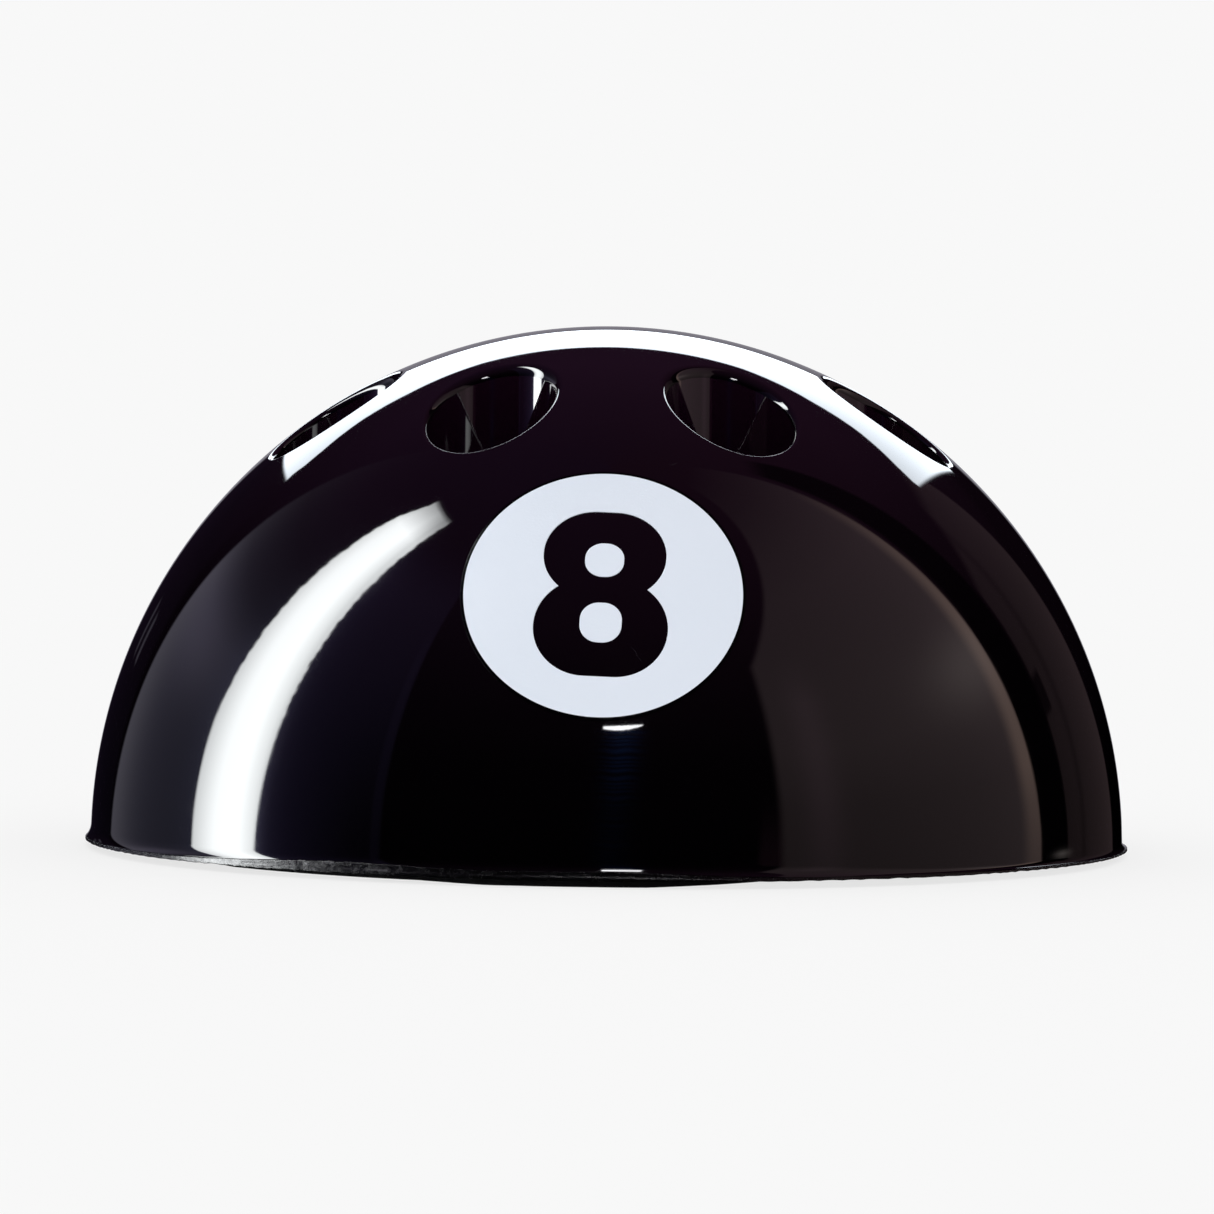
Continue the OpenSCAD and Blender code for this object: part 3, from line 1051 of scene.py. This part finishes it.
def right_wall(turn, rise):
    """The broad warm wall to the right, with a pink fold, a lit spot and a bright far edge."""
    left = 37 + np.maximum(rise - 38, 0)
    inside = rising(turn, left, 2.5) * (1 - rising(turn, 107.3 - 0.045 * np.maximum(rise, 0), 0.8))
    stops = ((-5, 0.8), (9, 0.92), (20, 1.2), (30, 1.2), (50, 0.95), (58, 0.7), (68, 0.3), (78, 0))
    fold_stops = ((-4, 0.5), (5, 0.8), (11, 1), (29, 1), (34, 0.35), (39, 0))
    fold = bell(turn, 47, 4.5) * profile(rise, *fold_stops)
    spot = bell(turn, 97, 15) * bell(rise, 25.5, 5.5)
    edge_stops = ((-4, 0.3), (4, 0.6), (9, 0.95), (20, 1), (34, 1), (44, 0.8), (54, 0.4), (62, 0))
    edge = rising(turn, 102, 5) * profile(rise, *edge_stops)
    foot = between(turn, 32 + 0.1 * rise, left, 2) * (1 - rising(rise, 6, 14))
    wall = tinted(profile(rise, *stops) * (1 + 0.18 * rising(turn, 60, 50)), 0.27, 0.203, 0.212)
    wall += tinted(fold, 0.12, 0.075, 0.1)
    wall += tinted(spot, 0.34, 0.3, 0.28)
    wall += tinted(edge, 0.62, 0.42, 0.32)
    return inside[..., None] * wall + tinted(foot, 0.06, 0.026, 0.04)


def right_back_wall(turn, rise):
    """A dim wall behind to the right, beyond the black flag, with a small lamp on the floor before it."""
    top = np.minimum(30 + 0.7 * (turn - 120), 37)
    shape = between(turn, 118.7, 147.8 - 0.16 * rise, 1) * (1 - rising(rise, top, 4))
    notch = 1 - 0.85 * between(turn, 117, 122.5, 0.8) * between(rise, 12.3, 17, 0.8)
    crease = 1 - 0.3 * bell(turn, 127, 1.5)
    high = profile(rise, (-5, 0.85), (9, 1), (30, 1.05), (40, 0.9))
    lamp = bell(turn, 116, 3.2) * bell(rise, -3.1, 0.4)
    return tinted(shape * notch * crease * high, 0.068, 0.047, 0.05) + tinted(lamp, 0.42, 0.37, 0.35)


def front_box(turn, rise):
    """A small softbox over the camera, and the blue glow on the blind under it."""
    low = 26.35 + 0.028 * (turn - 2) ** 2
    lamps = between(rise, low, 27.2 + 0.04 * turn, 0.25) + between(rise, 30.5, 36, 0.25)
    box = between(turn, -1, 8, 0.4) * lamps
    high = profile(rise, (-6, 0.08), (10, 0.14), (16, 0.4), (23, 0.75), (26, 1), (27, 0))
    slats = 1 + 0.8 * np.sin(5.8 * rise + 2 * np.sin(1.3 * rise) + 0.6 * np.sin(turn))
    blind = bell(turn, 3 + 0.12 * (rise - 20), 3.4) * high * slats
    return tinted(28 * box, 0.97, 0.97, 1) + tinted(blind, 0.018, 0.065, 0.21)


def rear(turn, rise):
    """A grey wall straight behind, and two dim stands far to the left."""
    wall = rising(np.abs(turn), 166, 3) * (1 - rising(rise, 24, 4))
    near_stand = between(turn, -149.4, -147.8, 0.6) * between(rise, 7.2, 10.6, 0.5)
    far_stand = between(turn, -153.4, -152, 0.6) * between(rise, 6.4, 9.8, 0.5)
    return tinted(wall, 0.3, 0.29, 0.33) + tinted(near_stand + 0.8 * far_stand, 0.085, 0.08, 0.1)


def top_panel(turn, rise):
    """A level softbox over and behind the stand, given by how far it reaches for each unit of its height."""
    level = 1 / np.tan(np.radians(np.maximum(rise, 1)))
    right = level * np.sin(np.radians(turn))
    back = -level * np.cos(np.radians(turn))
    stops = ((0.3, 0), (0.5, 0.09), (0.65, 0.105), (0.82, 0.155), (0.9, 0.145), (0.97, 0.09))
    near = 1.28 - 0.12 * right - profile(np.abs(right), *stops)
    shape = between(right, -1, 0.83 + 0.097 * back, 0.02) * between(back, near, 2.83, 0.02)
    return tinted(shape, 4.6, 5, 5.4)


LIGHTS = (
    ceiling, left_strip, left_wall, left_screen, right_wall, right_back_wall, front_box, rear, top_panel
)


def make_lights(name, turn_range, rise_range, step, away):
    """All the lights on part of a far dome, which only shiny surfaces see."""
    turns = np.arange(turn_range[0], turn_range[1] + step, step)
    rises = np.arange(rise_range[0], rise_range[1] + step, step)
    turn, rise = np.meshgrid(turns, rises)
    climb = np.radians(rise)
    points = away * facing(np.cos(climb), np.sin(climb), np.radians(turn)) + CENTRE
    index = np.arange(turn.size).reshape(turn.shape)
    quads = np.stack([index[:-1, :-1], index[:-1, 1:], index[1:, 1:], index[1:, :-1]], -1)
    mesh = bpy.data.meshes.new(name)
    mesh.from_pydata(points.reshape(-1, 3).tolist(), [], quads.reshape(-1, 4).tolist())
    colour_points(mesh, sum(light(wrapped(turn), rise) for light in LIGHTS).reshape(-1, 3))
    mesh.materials.append(GLOW)
    lights = add_object(name, mesh)
    lights.visible_camera = False
    lights.visible_diffuse = False
    lights.visible_shadow = False
    lights.visible_transmission = False


def make_backdrop():
    """A white sphere round everything, seen directly and by matt surfaces but not in reflections."""
    turns = np.radians(np.arange(0, 361, BACKDROP_STEP))
    rises = np.radians(np.arange(-90, 91, BACKDROP_STEP))[:, None]
    directions = facing(np.cos(rises), np.sin(rises), turns)
    skin = Skin()
    skin.grid(BACKDROP_R * directions, -directions)
    backdrop = skin.build("backdrop", [GLOW])
    colour_points(backdrop.data, np.full((len(backdrop.data.vertices), 3), PAPER_WHITE))
    backdrop.visible_glossy = False


def make_floor():
    """A pale paper floor, lit from within so that it meets the backdrop without a line."""
    paper = Finish("pale_floor", Roughness=1, Specular_IOR_Level=0)
    paper.set("Base Color", (FLOOR_MATT,) * 3)
    paper.set("Emission Color", (1, 1, 1))
    paper.set("Emission Strength", PAPER_WHITE * (1 - FLOOR_MATT))
    turns = np.linspace(0, 2 * math.pi, 121)
    radii = np.geomspace(0.05, FLOOR_R, 30)[:, None] * np.ones(len(turns))
    radii[0] = 0
    points = lifted(radii[..., None] * spoke(turns), FLOOR_Z)
    skin = Skin()
    skin.grid(points, np.broadcast_to([0.0, 0.0, 1.0], points.shape))
    floor = skin.build("floor", [paper.material])
    floor.visible_glossy = False


def make_world():
    """Nothing but black beyond the studio."""
    world = bpy.data.worlds.new("dark_studio")
    world.use_nodes = True
    world.node_tree.nodes["Background"].inputs["Color"].default_value = (0, 0, 0, 1)
    bpy.context.scene.world = world


GLOW = glow_material("studio_glow")
FLOOR_Z = felt_low.z - FLOOR_GAP
make_lights("studio_lights", *WHOLE_DOME, 0.5, LIGHTS_R)
make_lights("studio_front", *FRONT_BOX_AREA, 0.1, SHARP_LIGHTS_R)
make_lights("studio_back", *TOP_PANEL_AREA, 0.2, SHARP_LIGHTS_R)
make_backdrop()
make_floor()
make_world()

# ====== camera
CAMERA_AWAY = 6.515 * DOME_R
CAMERA_RISE = math.radians(4.07)
CAMERA_ROLL = math.radians(0.65)
AIM_ABOVE_CENTRE = math.radians(3.984)
AIM_RIGHT_OF_CENTRE = math.radians(0.01)
LENS = 98.22
SENSOR = 36.0


def make_camera():
    """The photo's view: a long lens just above the floor, aimed over the middle of the stand."""
    camera_data = bpy.data.cameras.new("camera")
    camera_data.lens = LENS
    camera_data.sensor_width = SENSOR
    camera = add_object("camera", camera_data)
    back = Vector((0, -math.cos(CAMERA_RISE), math.sin(CAMERA_RISE)))
    level = (-back).to_track_quat("-Z", "Y").to_matrix().to_4x4()
    rolled = level @ Matrix.Rotation(CAMERA_ROLL, 4, "Z")
    aimed = rolled @ Matrix.Rotation(AIM_ABOVE_CENTRE, 4, "X") @ Matrix.Rotation(-AIM_RIGHT_OF_CENTRE, 4, "Y")
    camera.matrix_world = Matrix.Translation(Vector(CENTRE) + back * CAMERA_AWAY) @ aimed
    bpy.context.scene.camera = camera


make_camera()
bpy.context.scene.view_settings.view_transform = "Standard"
